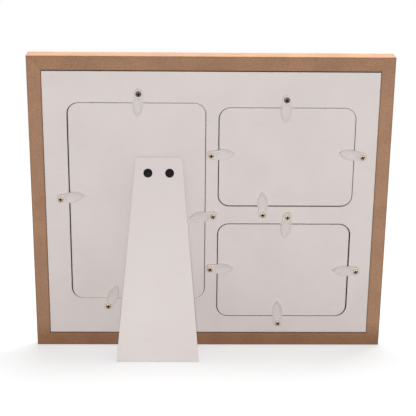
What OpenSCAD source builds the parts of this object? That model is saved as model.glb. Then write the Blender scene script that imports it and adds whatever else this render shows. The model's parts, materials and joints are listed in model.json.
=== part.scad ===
// Picture frame for three prints, standing on its easel leg.
// X runs along the frame, Y out of its back and Z up; the frame leans back over its lower back edge.
// Left and right are as seen from behind, so left is towards +X.
// Pieces are drawn in the upright frame first: Y is 0 on the back of the rails, Z is 0 on the lower edge.

/* [Prints] */
// Width of all three prints
print_w = 102; // [96:1:108]
// Height of the large print
large_print_h = 152; // [144:1:160]
// Thickness of a print
print_t = 0.3; // [0.2:0.05:0.4]

/* [Doors] */
// How much wider and taller a small door is than its print
door_spare = 2.6; // [2:0.2:4]
// How much wider the large door is than its print
large_side_spare = 3.6; // [3:0.2:5]
// How much taller the large door is than its print
large_door_spare = 9; // [6:0.2:12]
// Gap all round a door in its cut-out
door_gap = 0.7; // [0.4:0.1:0.9]
// Corner radius of a door
door_corner = 8.5; // [6:0.5:10]

/* [Back panel] */
// Thickness of the back panel
panel_t = 4.5; // [4:0.1:5.2]
// Depth of the panel's face below the back of the rails
panel_recess = 0.5; // [0.3:0.1:0.8]
// Gap between the panel and the rails
panel_gap = 0.3; // [0.2:0.1:0.9]
// Panel left of the large cut-out
left_margin = 18.2; // [17:0.1:22]
// Panel right of the small cut-outs
right_margin = 16.8; // [14:0.1:20]
// Strip between the large and the small cut-outs
upright_bar = 9.6; // [8:0.1:14]
// Panel above the large cut-out
large_top_margin = 25; // [20:0.1:30]
// Panel below the large cut-out
large_bottom_margin = 30.2; // [24:0.1:34]
// Panel above the upper cut-out
small_top_margin = 28.4; // [24:0.1:30]
// Strip between the two small cut-outs
level_bar = 14.4; // [13:0.1:18]
// Panel below the lower cut-out
small_bottom_margin = 14.4; // [12:0.1:18]

/* [Rails] */
// Width of a rail at the back
rail_w = 11.2; // [10:0.1:14]
// Depth of the frame from front to back
frame_depth = 15; // [14:0.1:18]
// How far the front lip covers the glass
lip_cover = 6; // [5:0.1:8]
// Radius of the eased edges of a rail
edge_r = 0.5; // [0.3:0.1:0.8]

/* [Glass and mat] */
// Thickness of the glass
glass_t = 2; // [1.8:0.1:2.4]
// Thickness of the mat
mat_t = 1.5; // [1.2:0.1:1.8]
// Gap around the glass and the mat
sheet_gap = 0.4; // [0.2:0.1:0.6]
// How far the mat covers each edge of a print
mat_cover = 4; // [3:0.1:6]

/* [Turn buttons] */
// Distance from a button's screw to its tip
button_reach = 18.5; // [17:0.1:20]
// Widest part of the leaf
leaf_w = 8.6; // [8:0.1:9.4]
// Radius of the round end about the screw
boss_r = 3.6; // [3.3:0.1:3.9]
// Thickness of a button
button_t = 1.9; // [1.6:0.1:2.2]
// Width of the raised rim
rim_w = 1.2; // [1:0.1:1.4]
// Depth of the hollow inside the rim
hollow_depth = 0.6; // [0.4:0.1:0.9]

/* [Screws] */
// Thread diameter
screw_d = 2.2; // [2:0.1:2.6]
// Head diameter
screw_head_d = 4.6; // [4.2:0.1:5]
// Head height
screw_head_h = 1.1; // [0.9:0.1:1.2]
// Length under the head
screw_len = 5.6; // [5:0.1:5.8]

/* [Leg] */
// Length of the leg
leg_len = 156.8; // [140:0.2:164]
// Width of the leg at its head
leg_head_w = 36.4; // [33:0.2:40]
// Width of the leg at its foot
leg_foot_w = 62.6; // [56:0.2:68]
// Thickness of the leg
leg_t = 3; // [2.6:0.1:3.4]
// Corner radius at the head of the leg
leg_corner = 2; // [1:0.1:3]
// Angle between the open leg and the back
open_angle = 25; // [22:0.5:28]
// Distance of the hinge pin above the middle of the large door
pin_rise = 30.7; // [24:0.1:36]
// Distance of the leg to the right of the middle of the large door
leg_shift = 17.1; // [10:0.1:18]

/* [Hinge] */
// Thickness of the hinge leaves
leaf_t = 0.55; // [0.5:0.05:0.7]
// Width of the hinge
hinge_w = 26; // [24:0.5:30]
// Diameter of the hinge pin
pin_d = 1.2; // [1:0.05:1.3]
// Outer diameter of the knuckles
knuckle_d = 2.4; // [2.2:0.05:2.6]
// Distance between the two rivets in a leaf
rivet_spacing = 16.8; // [15:0.1:18]
// Distance of the rivets below the top of the leg
rivet_drop = 12.4; // [12:0.1:13.5]
// Leaf left beyond the middle of a rivet
leaf_edge = 4; // [3.4:0.1:5]

/* [Rivets] */
// Diameter of the black rivet heads
rivet_head_d = 7; // [6.4:0.1:7.6]
// Height of the black rivet heads
rivet_head_h = 0.9; // [0.7:0.1:1.1]
// Diameter of a rivet's shank
rivet_d = 2.8; // [2.4:0.1:3.2]
// Diameter of the flat heads between the hinge leaves
flat_head_d = 4.4; // [4.2:0.1:4.8]
// Height of the flat heads
flat_head_h = 0.5; // [0.4:0.05:0.6]
// Depth of the countersunk ends in the door
sink_depth = 0.8; // [0.6:0.1:1]

/* [Corner wedges] */
// Length of each arm of a wedge
wedge_arm = 3.6; // [3:0.1:4.2]
// Thickness of the wedge's steel
wedge_t = 0.6; // [0.4:0.1:0.8]
// Length of a wedge along the depth of the rail
wedge_h = 8; // [6:0.5:10]
// Angle between the arms of a wedge
wedge_spread = 80; // [60:2:90]
// Depth of a wedge below the back of the rails
wedge_sink = 1; // [0.6:0.1:1.5]

/* [Fits] */
// Gap around what turns on a pin or screw
running_fit = 0.05; // [0.03:0.01:0.08]
// Gap around what stays put in its hole
tight_fit = 0.02; // [0.01:0.01:0.03]
// Gap under and over a turning button
button_play = 0.05; // [0.03:0.01:0.1]
// Gap between the hinge knuckles and what they pass
knuckle_clear = 0.3; // [0.25:0.01:0.35]
// Gap between the top of the open leg and the door
stop_gap = 0.02; // [0.01:0.01:0.05]

/* [Hidden] */
$fn = 64;
// Steps in each eased edge and rounded leg corner
arc_steps = 4;
// Overrun of the cuts
over = 1;

// Colours of the pieces
fibreboard = [0.62, 0.48, 0.38];
white_paint = [0.85, 0.82, 0.8];
white_plastic = [0.9, 0.88, 0.87];
brass = [0.72, 0.6, 0.36];
steel = [0.6, 0.6, 0.6];
black = [0.08, 0.08, 0.08];

// Doors, cut-outs and the space between the rails
large_door = [print_w + large_side_spare, large_print_h + large_door_spare];
large_cut = large_door + 2 * [door_gap, door_gap];
small_door_w = print_w + door_spare;
small_cut_w = small_door_w + 2 * door_gap;
inner_w = left_margin + large_cut[0] + upright_bar + small_cut_w + right_margin;
inner_h = large_top_margin + large_cut[1] + large_bottom_margin;
small_cut_h = (inner_h - small_top_margin - level_bar - small_bottom_margin) / 2;
small_door = [small_door_w, small_cut_h - 2 * door_gap];
frame_w = inner_w + 2 * rail_w;
frame_h = inner_h + 2 * rail_w;

// Each door's middle, as x and z
large_middle = [inner_w / 2 - left_margin - large_cut[0] / 2, rail_w + large_bottom_margin + large_cut[1] / 2];
lower_middle = [right_margin + small_cut_w / 2 - inner_w / 2, rail_w + small_bottom_margin + small_cut_h / 2];
upper_middle = lower_middle + [0, small_cut_h + level_bar];
large_print = [print_w, large_print_h];
small_print = [print_w, small_door[1] - door_spare];

// Front face of each layer, the back of the rails being 0
panel_face = -panel_recess;
panel_front = panel_face - panel_t;
mat_front = panel_front - mat_t;
glass_front = mat_front - glass_t;
door_front = panel_front + print_t;
door_t = panel_t - print_t;
lip_t = frame_depth + glass_front;
face_w = rail_w + lip_cover;

// Sides of a door, the way out of the door over each, and the way a button on it points
SIDES = ["top", "left", "right", "bottom"];
side_ways = [[0, 1], [1, 0], [-1, 0], [0, -1]];
side_angles = [180, -90, 90, 0];
// Each row is a side: place along it from its middle, and set-back from the cut-out in button reaches
large_button_shares = [[-0.016, 0.393], [0.023, 0.346], [-0.063, 0.325], [0.23, 0.341]];
upper_button_shares = [[0.01, 0.348], [0.027, 0.296], [0.014, 0.335], [0.166, 0.344]];
lower_button_shares = [[-0.023, 0.329], [0.022, 0.297], [0, 0.309], [0.027, 0.287]];
// How far each button stands turned from square to its side
large_button_turns = [-4, 8, 6, -24];
upper_button_turns = [-1, 3, -10, 1];
lower_button_turns = [-6, 0, -1, 2];

// Leaf of a button: two arcs that meet in the tip
leaf_middle_share = 0.49;
neck_end_share = 0.3;
neck_w_share = 0.92;
hollow_start_share = 1.12;
leaf_middle = button_reach * leaf_middle_share;
leaf_half = button_reach - leaf_middle;
leaf_r = (leaf_half * leaf_half + leaf_w * leaf_w / 4) / leaf_w;
leaf_side = leaf_r - leaf_w / 2;
neck_end = button_reach * neck_end_share;
neck_end_half = sqrt(leaf_r * leaf_r - (neck_end - leaf_middle) * (neck_end - leaf_middle)) - leaf_side;

// Screw, measured from the panel's face; shares are of its head, and the tip's of its diameter
recess_len_share = 0.58;
recess_w_share = 0.14;
recess_depth_share = 0.55;
dome_shares = [[1, 0.45], [0.9, 0.75], [0.7, 0.93], [0.4, 1]];
screw_tip_share = 0.8;
screw_head_floor = button_t + 2 * button_play;
pilot_depth = screw_len - screw_head_floor + tight_fit;

// Hinge and leg, measured from the pin; the top of the open leg rests on the door
stand_off = knuckle_d / 2 + knuckle_clear;
pin_place = [large_middle[0] - leg_shift, panel_face + stand_off, large_middle[1] + pin_rise];
leg_rise = (stand_off * (1 + cos(open_angle)) - stop_gap) / sin(open_angle);
leg_fall = leg_len - leg_rise;
rivet_fall = rivet_drop - leg_rise;
leaf_fall = rivet_fall + leaf_edge;
middle_knuckle_w = hinge_w / 3;
knuckle_end_gap = 2 * running_fit;

// The foot's inner edge in the upright frame, and the lean that sets it level with the lower back edge
foot_y = pin_place[1] + stand_off * cos(open_angle) + leg_fall * sin(open_angle);
foot_z = pin_place[2] + stand_off * sin(open_angle) - leg_fall * cos(open_angle);
lean = atan2(foot_z, foot_y);
back_reach = norm([foot_y, foot_z]) + leg_t * cos(open_angle - lean);
front_reach = frame_depth * cos(lean);
middle_y = (back_reach - front_reach) / 2;

// Leans an upright piece over its lower back edge, the origin being under the middle of the whole
module lean_back() {
    translate([0, -middle_y, 0]) rotate([-lean, 0, 0]) children();
}

// Places a piece drawn about the hinge pin
module on_pin() {
    lean_back() translate(pin_place) children();
}

// Swings a piece of the leg, drawn folded about the hinge pin, to its open place
module open_out() {
    on_pin() rotate([open_angle, 0, 0]) children();
}

// Gives an outline drawn in X and Z a thickness, from y_start towards the back
module slab(y_start, thick) {
    translate([0, y_start + thick, 0]) rotate([90, 0, 0]) linear_extrude(thick) children();
}

// Round bar along Y, from y_start towards the back
module bar(y_start, len, d_start, d_end) {
    translate([0, y_start, 0]) rotate([-90, 0, 0]) cylinder(h = len, d1 = d_start, d2 = d_end);
}

// Turned piece along Y from its half outline, whose second values run towards the back
module turned(points) {
    rotate([-90, 0, 0]) rotate_extrude() polygon(points);
}

// Rectangle with truly round corners
module rounded_rect(size, r) {
    square([size[0] - 2 * r, size[1]], center = true);
    square([size[0], size[1] - 2 * r], center = true);
    for (x = [-1, 1], z = [-1, 1])
        translate([x * (size[0] / 2 - r), z * (size[1] / 2 - r)]) circle(r);
}

// Points of a quarter arc
function quarter(middle, r, start) = [
    for (step = [0 : arc_steps])
        middle + r * [cos(start + 90 * step / arc_steps), sin(start + 90 * step / arc_steps)]
];

// Section of a rail, from the front to the back and from the outer edge inwards
module rail_section() {
    polygon(concat(
        quarter([edge_r, edge_r], edge_r, 180),
        quarter([frame_depth - edge_r, edge_r], edge_r, 270),
        quarter([frame_depth - edge_r, rail_w - edge_r], edge_r, 0),
        [[lip_t, rail_w], [lip_t, face_w]],
        quarter([edge_r, face_w - edge_r], edge_r, 90)
    ));
}

// V-shaped wedge across a mitre, whose outer corner is the origin
module wedge() {
    point = (rail_w - wedge_arm) / 2;
    slab(-wedge_sink - wedge_h, wedge_h)
        translate([point, point]) for (side = [-1, 1])
            rotate(45 + side * wedge_spread / 2) translate([0, -wedge_t / 2]) square([wedge_arm, wedge_t]);
}

// The wedges at both ends of a rail
module wedge_pair(len) {
    translate([-len / 2, 0, 0]) wedge();
    translate([len / 2, 0, 0]) rotate([0, -90, 0]) wedge();
}

// Rail along X with its outer edge at Z 0, mitred at both ends
module rail(len) {
    half = len / 2;
    color(fibreboard) difference() {
        intersection() {
            translate([-half, -frame_depth, 0]) rotate([90, 0, 90]) linear_extrude(len) rail_section();
            slab(-frame_depth - over, frame_depth + 2 * over) polygon([
                [-half - over, -over], [half + over, -over],
                [half - face_w - over, face_w + over], [face_w + over - half, face_w + over]
            ]);
        }
        wedge_pair(len);
    }
}

module rail_bottom() { lean_back() rail(frame_w); }

module rail_top() { lean_back() translate([0, 0, frame_h]) rotate([0, 180, 0]) rail(frame_w); }

module rail_left() { lean_back() translate([frame_w / 2, 0, frame_h / 2]) rotate([0, -90, 0]) rail(frame_h); }

module rail_right() { lean_back() translate([-frame_w / 2, 0, frame_h / 2]) rotate([0, 90, 0]) rail(frame_h); }

module corner_wedges() {
    color(steel) lean_back() {
        wedge_pair(frame_w);
        translate([0, 0, frame_h]) rotate([0, 180, 0]) wedge_pair(frame_w);
    }
}

// Outline of a sheet that fills the rebate but for a gap all round
module sheet_outline(gap) {
    translate([0, frame_h / 2]) square([inner_w - 2 * gap, inner_h - 2 * gap], center = true);
}

module glass() {
    color("lightcyan") lean_back() slab(glass_front, glass_t) sheet_outline(sheet_gap);
}

// Window in the mat, bevelled wider towards the glass
module window(middle, print) {
    size = print - 2 * [mat_cover, mat_cover];
    translate([middle[0], 0, middle[1]]) hull() {
        slab(mat_front - over, over) square(size + 2 * [mat_t, mat_t], center = true);
        slab(panel_front, over) square(size, center = true);
    }
}

module mat() {
    color("ivory") lean_back() difference() {
        slab(mat_front, mat_t) sheet_outline(sheet_gap);
        window(large_middle, large_print);
        window(upper_middle, small_print);
        window(lower_middle, small_print);
    }
}

// Blank insert in the place of a print
module insert(middle, print) {
    color("white") lean_back() translate([middle[0], 0, middle[1]])
        slab(panel_front, print_t) square(print, center = true);
}

module insert_large() { insert(large_middle, large_print); }

module insert_upper() { insert(upper_middle, small_print); }

module insert_lower() { insert(lower_middle, small_print); }

// Puts what is drawn about a screw's axis, pointing up, on one side of a door
module on_side(side, middle, door, shares, turns) {
    way = side_ways[side];
    along = [way[1], way[0]];
    reach_out = way * (door_gap + shares[side][1] * button_reach);
    half = [way[0] * door[0] / 2, way[1] * door[1] / 2];
    offset_along = [abs(along[0]) * door[0], abs(along[1]) * door[1]] * shares[side][0];
    place = middle + half + reach_out + offset_along;
    translate([place[0], panel_face, place[1]]) rotate([0, side_angles[side] + turns[side], 0]) children();
}

module on_large(side) {
    on_side(side, large_middle, large_door, large_button_shares, large_button_turns) children();
}

module on_upper(side) {
    on_side(side, upper_middle, small_door, upper_button_shares, upper_button_turns) children();
}

module on_lower(side) {
    on_side(side, lower_middle, small_door, lower_button_shares, lower_button_turns) children();
}

// Blind hole for a screw, from the panel's face
module pilot() { bar(-pilot_depth, pilot_depth + over, screw_d + 2 * tight_fit, screw_d + 2 * tight_fit); }

// Outline of a cut-out, wider than its door by the gap
module cut_out(middle, door) {
    translate(middle) rounded_rect(door + 2 * [door_gap, door_gap], door_corner + door_gap);
}

module back_panel() {
    color(white_paint) lean_back() difference() {
        slab(panel_front, panel_t) difference() {
            sheet_outline(panel_gap);
            cut_out(large_middle, large_door);
            cut_out(upper_middle, small_door);
            cut_out(lower_middle, small_door);
        }
        for (side = [0 : 3]) {
            on_large(side) pilot();
            on_upper(side) pilot();
            on_lower(side) pilot();
        }
    }
}

module door_board(middle, door) {
    translate([middle[0], 0, middle[1]]) slab(door_front, door_t) rounded_rect(door, door_corner);
}

// Places what is drawn about the middle of a rivet in a hinge leaf
module at_rivets() {
    for (side = [-1, 1]) translate([side * rivet_spacing / 2, 0, -rivet_fall]) children();
}

// Stepped hole through the door and its hinge leaf, or with no gap the rivet's own shank and end
module door_rivet_core(gap) {
    bar(-stand_off - door_t - gap, door_t + leaf_t + 2 * gap, rivet_d + 2 * gap, rivet_d + 2 * gap);
    bar(-stand_off - door_t, sink_depth, flat_head_d + 2 * gap, rivet_d + 2 * gap);
}

module door_large() {
    color(white_paint) difference() {
        lean_back() door_board(large_middle, large_door);
        on_pin() at_rivets() door_rivet_core(tight_fit);
    }
}

module door_upper() { color(white_paint) lean_back() door_board(upper_middle, small_door); }

module door_lower() { color(white_paint) lean_back() door_board(lower_middle, small_door); }

// Pointed leaf, drawn in from its outline by an inset
module leaf(inset) {
    translate([0, leaf_middle]) intersection() {
        translate([leaf_side, 0]) circle(leaf_r - inset);
        translate([-leaf_side, 0]) circle(leaf_r - inset);
    }
}

module button_outline() {
    circle(boss_r);
    leaf(0);
    polygon([
        [-boss_r * neck_w_share, 0], [boss_r * neck_w_share, 0],
        [neck_end_half, neck_end], [-neck_end_half, neck_end]
    ]);
}

// Turn button about its screw, pointing up
module turn_button() {
    color(white_plastic) difference() {
        slab(button_play, button_t) button_outline();
        slab(button_play + button_t - hollow_depth, hollow_depth + over) difference() {
            leaf(rim_w);
            circle(boss_r * hollow_start_share);
        }
        bar(-over, button_t + 2 * over, screw_d + 2 * running_fit, screw_d + 2 * running_fit);
    }
}

// Round-headed screw with a cross recess
module screw() {
    r = screw_d / 2;
    tip = screw_d * screw_tip_share;
    head_r = screw_head_d / 2;
    recess_depth = screw_head_h * recess_depth_share;
    dome = [for (share = dome_shares) [head_r * share[0], screw_head_h * share[1]]];
    color(brass) translate([0, screw_head_floor, 0]) difference() {
        turned(concat([[0, -screw_len], [r, tip - screw_len], [r, 0], [head_r, 0]], dome, [[0, screw_head_h]]));
        for (turn = [0, 90])
            rotate([0, turn, 0])
                translate([0, screw_head_h - recess_depth / 2 + over / 2, 0])
                    cube([
                        screw_head_d * recess_len_share, recess_depth + over, screw_head_d * recess_w_share
                    ], center = true);
    }
}

module screws_large() { lean_back() for (side = [0 : 3]) on_large(side) screw(); }

module screws_upper() { lean_back() for (side = [0 : 3]) on_upper(side) screw(); }

module screws_lower() { lean_back() for (side = [0 : 3]) on_lower(side) screw(); }

// Bar along X about the pin's axis
module cross_bar(len, d) {
    rotate([0, 90, 0]) cylinder(h = len, d = d, center = true);
}

// Space that the other leaf's knuckles turn in
module knuckle_room(len) {
    cross_bar(len + 2 * knuckle_end_gap, knuckle_d + 2 * knuckle_clear);
}

// Flat of a hinge leaf, against what carries it on the y_side of the pin
module leaf_flat(y_start) {
    slab(y_start, leaf_t) translate([-hinge_w / 2, -leaf_fall]) square([hinge_w, leaf_fall]);
}

module side_knuckles(d, end_gap) {
    len = (hinge_w - middle_knuckle_w) / 2 - end_gap;
    for (side = [-1, 1]) translate([side * (hinge_w - len) / 2, 0, 0]) cross_bar(len, d);
}

module hinge_plate() {
    color(steel) on_pin() difference() {
        union() {
            difference() {
                leaf_flat(-stand_off);
                knuckle_room(middle_knuckle_w);
            }
            side_knuckles(knuckle_d, knuckle_end_gap);
        }
        cross_bar(hinge_w + over, pin_d + 2 * tight_fit);
        at_rivets() door_rivet_core(tight_fit);
    }
}

module hinge_pin() { color(steel) on_pin() cross_bar(hinge_w, pin_d); }

module plate_rivets() {
    color(black) on_pin() at_rivets() {
        door_rivet_core(0);
        bar(leaf_t - stand_off, flat_head_h, flat_head_d, flat_head_d);
    }
}

module leg_rivet_hole() {
    bar(0, stand_off + leg_t + over, rivet_d + 2 * tight_fit, rivet_d + 2 * tight_fit);
}

module hinge_strap() {
    color(steel) open_out() difference() {
        union() {
            difference() {
                leaf_flat(stand_off - leaf_t);
                side_knuckles(knuckle_d + 2 * knuckle_clear, -knuckle_end_gap);
            }
            cross_bar(middle_knuckle_w, knuckle_d);
        }
        cross_bar(hinge_w, pin_d + 2 * running_fit);
        at_rivets() leg_rivet_hole();
    }
}

module leg_rivets() {
    head_r = rivet_head_d / 2;
    dome = [for (share = dome_shares) [head_r * share[0], rivet_head_h * share[1]]];
    color(black) open_out() at_rivets() {
        bar(stand_off - leaf_t, leaf_t + leg_t, rivet_d, rivet_d);
        bar(stand_off - leaf_t - flat_head_h, flat_head_h, flat_head_d, flat_head_d);
        translate([0, stand_off + leg_t, 0]) turned(concat([[0, 0], [head_r, 0]], dome, [[0, rivet_head_h]]));
    }
}

// Tapered outline of the leg about the hinge pin
module leg_outline() {
    corner = [leg_head_w / 2 - leg_corner, leg_rise - leg_corner];
    polygon(concat(
        [[-leg_foot_w / 2, -leg_fall], [leg_foot_w / 2, -leg_fall]],
        quarter(corner, leg_corner, 0),
        quarter([-corner[0], corner[1]], leg_corner, 90)
    ));
}

module leg() {
    color(white_paint) open_out() difference() {
        slab(stand_off, leg_t) leg_outline();
        at_rivets() leg_rivet_hole();
    }
}

rail_top();
rail_bottom();
rail_left();
rail_right();
corner_wedges();
glass();
mat();
insert_large();
insert_upper();
insert_lower();
back_panel();
door_large();
door_upper();
door_lower();
for (side = [0 : 3]) {
    lean_back() on_large(side) turn_button();
    lean_back() on_upper(side) turn_button();
    lean_back() on_lower(side) turn_button();
}
screws_large();
screws_upper();
screws_lower();
hinge_plate();
hinge_pin();
plate_rivets();
hinge_strap();
leg_rivets();
leg();
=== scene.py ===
"""Standing picture frame with three doors and an easel leg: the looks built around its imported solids.

Lengths are in metres. The upright axes lie in the leaning frame: X along it, Y out of its back with 0 on the
back of the rails, and Z up it with 0 on its lower edge. Left and right are as seen from behind.
"""

import json
import math
from typing import NamedTuple

import bmesh
import bpy
from bpy.props import FloatProperty, FloatVectorProperty, IntProperty, PointerProperty
from mathutils import Matrix, Vector


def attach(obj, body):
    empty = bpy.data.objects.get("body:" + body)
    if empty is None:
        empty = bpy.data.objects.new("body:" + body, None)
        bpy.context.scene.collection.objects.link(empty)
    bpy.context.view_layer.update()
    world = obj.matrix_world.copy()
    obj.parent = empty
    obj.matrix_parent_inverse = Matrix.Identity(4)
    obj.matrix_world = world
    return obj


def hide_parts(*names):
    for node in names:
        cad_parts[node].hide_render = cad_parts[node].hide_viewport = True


bl_info = {
    "name": "Easel Picture Frame",
    "version": (1, 0, 0),
    "blender": (4, 5, 0),
    "location": "3D View > Sidebar > Picture Frame",
    "description": "Builds the finished pieces of a standing picture frame around its packed solids",
    "category": "Object",
}

MM = 0.001
DOORS = ("large", "upper", "lower")
SIDES = ("top", "left", "right", "bottom")
OLD_SCREWS = ("large_top", "upper_top")

# Edges that turn by more than this are shaded sharp
SHARP_ANGLE = math.radians(32)
# Distance over which a colour ends along a crisp line
SHORT_STEP = 0.03 * MM
# Points of a cut screw head that are nearer than this are merged
MERGE_STEP = 0.001 * MM
# Width of the ring of faces along the mat's edges
MAT_MARGIN = 1 * MM

# Moulded buttons: front bevel, steps around the screw hole and in the hollow's curves, and the height of its
# lower curve as a share of the width
FRONT_BEVEL = 0.1 * MM
HOLE_STEPS = 32
HOLLOW_STEPS = 4
HOLLOW_FOOT = 0.5

# Rings of the ball that a domed head is pressed from
HEAD_RINGS = 16
# Cutter of a cross recess: its top as a share of the slot's length, how many times narrower its bottom is,
# and its height as a share of the slot's depth
CUTTER_TOP = 1.5
CUTTER_TAPER = 3.0
CUTTER_HEIGHT = 2.0
# Distance from a square's middle to its corner, as a share of its side
SQUARE_CORNER = math.sqrt(0.5)

# Degrees that a hinge leaf rolls round its pin
ROLL_ANGLE = 285
# Where a hinge leaf starts to bend, in radii of its roll from the pin
BEND_START = 1.3

# Range that a noise mostly stays in
NOISE_RANGE = (0.3, 0.7)
# Heights between which the painted shade near the floor fades out
SHADE_FADE = (5 * MM, 22 * MM)

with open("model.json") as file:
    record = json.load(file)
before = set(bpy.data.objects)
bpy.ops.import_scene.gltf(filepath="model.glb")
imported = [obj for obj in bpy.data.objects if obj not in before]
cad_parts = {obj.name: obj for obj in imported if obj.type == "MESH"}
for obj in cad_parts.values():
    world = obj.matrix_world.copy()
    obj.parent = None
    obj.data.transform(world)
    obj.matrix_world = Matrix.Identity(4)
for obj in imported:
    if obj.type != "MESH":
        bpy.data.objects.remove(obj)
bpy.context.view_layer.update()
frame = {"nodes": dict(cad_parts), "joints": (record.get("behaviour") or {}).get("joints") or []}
joints = {joint["child"]: joint for joint in frame["joints"]}


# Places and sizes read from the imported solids


def upright_place():
    """Matrix from the upright axes to the row frame, read from a button's axis and the lower rail."""
    out = joints["button_large_top"]["axis"]
    turn = Matrix.Rotation(math.atan2(out[2], out[1]), 4, "X")
    back = max((turn.inverted() @ v.co).y for v in frame["nodes"]["rail_bottom"].data.vertices)
    return Matrix.Translation((0, back / out[1], 0)) @ turn


UPRIGHT = upright_place()
UPRIGHT_TURN = UPRIGHT.to_3x3().to_4x4()
PIN = Matrix.Translation(joints["leg"]["pos_m"]) @ UPRIGHT_TURN
LEG = PIN @ Matrix.Rotation(-math.radians(joints["leg"]["range_deg"][0]), 4, "X")


def button_place(node):
    """Matrix from a button's own axes, with its screw along Y and its leaf along Z, to the row frame."""
    square_on = Matrix.Translation(joints[node]["pos_m"]) @ UPRIGHT_TURN
    flat = [square_on.inverted() @ v.co for v in frame["nodes"][node].data.vertices]
    tip = max(flat, key=lambda point: point.x ** 2 + point.z ** 2)
    return square_on @ Matrix.Rotation(math.atan2(tip.x, tip.z), 4, "Y")


def extent(node, place):
    """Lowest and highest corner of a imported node, in the axes of a place."""
    points = [place.inverted() @ v.co for v in frame["nodes"][node].data.vertices]
    return Vector([min(along) for along in zip(*points)]), Vector([max(along) for along in zip(*points)])


# Sizes and colours that a user would change


def amount(name, default, description, **kind):
    """Number property."""
    return FloatProperty(name=name, description=description, default=default, min=0, **kind)


def length(name, millimetres, description):
    """Length property with its default in millimetres."""
    return amount(name, millimetres * MM, description, unit="LENGTH")


def count(name, default, description, lowest=0):
    """Whole number property."""
    return IntProperty(name=name, description=description, default=default, min=lowest)


def several(name, default, description, **kind):
    """Property of several numbers."""
    kind["size"] = len(default)
    return FloatVectorProperty(name=name, description=description, default=default, **kind)


def colour(name, default, description):
    """Colour property, as linear values."""
    return several(name, default, description, subtype="COLOR", min=0, max=1)


def spot(name, default, description):
    """Place property, in metres."""
    return several(name, default, description, subtype="TRANSLATION", unit="LENGTH")


def sides(name, millimetres, what):
    """Property for a length at each side, with its defaults in millimetres."""
    default = [value * MM for value in millimetres]
    return several(name, default, f"{what}: right, left, above and below", unit="LENGTH")


class RailSizes(bpy.types.PropertyGroup):
    """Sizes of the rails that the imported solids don't give."""

    back_widths: sides("Back widths", (10.6, 10.8, 11.0, 10.75), "Widths of the rails' backs")
    lip_depth: length("Lip depth", 6.5, "Depth of the lip in front of the glass")
    edge_radius: length("Edge radius", 0.55, "Radius of the eased edges")
    inner_radius: length("Inner edge radius", 0.3, "Radius of the edge around the panel")
    wear_width: length("Wear width", 0.9, "How far the wear reaches in from an edge")
    mitre_gap: length("Mitre gap", 0.03, "Gap left at each side of a mitre")
    # The upper rail is darkened by this share of the painted shade tint
    top_shade: amount("Top shade", 0.25, "How much of the board shade the upper rail has")


class BoardSizes(bpy.types.PropertyGroup):
    """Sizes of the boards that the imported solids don't give."""

    edge_radius: length("Edge radius", 0.35, "Radius of a board's edge at the back")
    front_radius: length("Front edge radius", 0.15, "Radius of a board's edge at the front")
    wear_width: length("Wear width", 1.1, "How far the wear reaches in from an edge")
    panel_gaps: sides("Panel gaps", (0.15, 0.25, 0.8, 0.45), "Gaps around the panel")
    door_gap: length("Door gap", 0.7, "Gap around a packed door in its cut-out")
    door_corner: length("Door corner radius", 8.5, "Corner radius of a door")
    large_gaps: sides("Large door gaps", (0.45, 0.9, 0.3, 0.15), "Gaps around the large door")
    upper_gaps: sides("Upper door gaps", (0.4, 0.7, 0.3, 0.75), "Gaps around the upper door")
    lower_gaps: sides("Lower door gaps", (1.0, 0.7, 0.55, 0.45), "Gaps around the lower door")
    leg_head_width: length("Leg head width", 36.4, "Width of the leg at its head")
    leg_corner: length("Leg corner radius", 2, "Corner radius at the head of the leg")
    leg_radius: length("Leg edge radius", 0.15, "Radius of the leg's edge at the back")
    leg_wear: amount("Leg wear", 0.3, "How worn the leg's edges are, as a share of the other boards'")
    mat_cover: length("Mat cover", 4, "How far the mat covers each edge of a print")
    corner_steps: count("Corner steps", 14, "Steps in a rounded corner", 3)


class ButtonSizes(bpy.types.PropertyGroup):
    """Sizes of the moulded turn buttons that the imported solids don't give."""

    rim_width: length("Rim width", 1.2, "Width of the raised rim")
    rim_radius: length("Rim radius", 0.42, "Radius of the rim's outer edge")
    tip_radius: length("Tip radius", 0.5, "Radius of the leaf's tip")
    hollow_tip: length("Hollow tip radius", 0.6, "Radius of the hollow's tip")
    hollow_radius: length("Hollow edge radius", 0.28, "Radius of the rim's inner edge")
    hollow_depth: length("Hollow depth", 0.6, "Depth of the hollow inside the rim")
    hollow_slope: length("Hollow slope", 0.25, "How far the hollow's wall slopes in")
    boss_clear: length("Boss radius", 4.03, "Radius of the flat around the screw")
    screw_hole: length("Screw hole radius", 1.15, "Radius of the hole for the screw")
    neck_share: amount("Neck share", 0.92, "Width of the neck at the screw, as a share of the boss")
    neck_end_share: amount("Neck end share", 0.3, "Where the neck ends, as a share of the button's reach")
    middle_share: amount("Middle share", 0.49, "Where the leaf is widest, as a share of the button's reach")
    side_steps: count("Side steps", 26, "Steps along each side of the leaf", 6)


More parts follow.
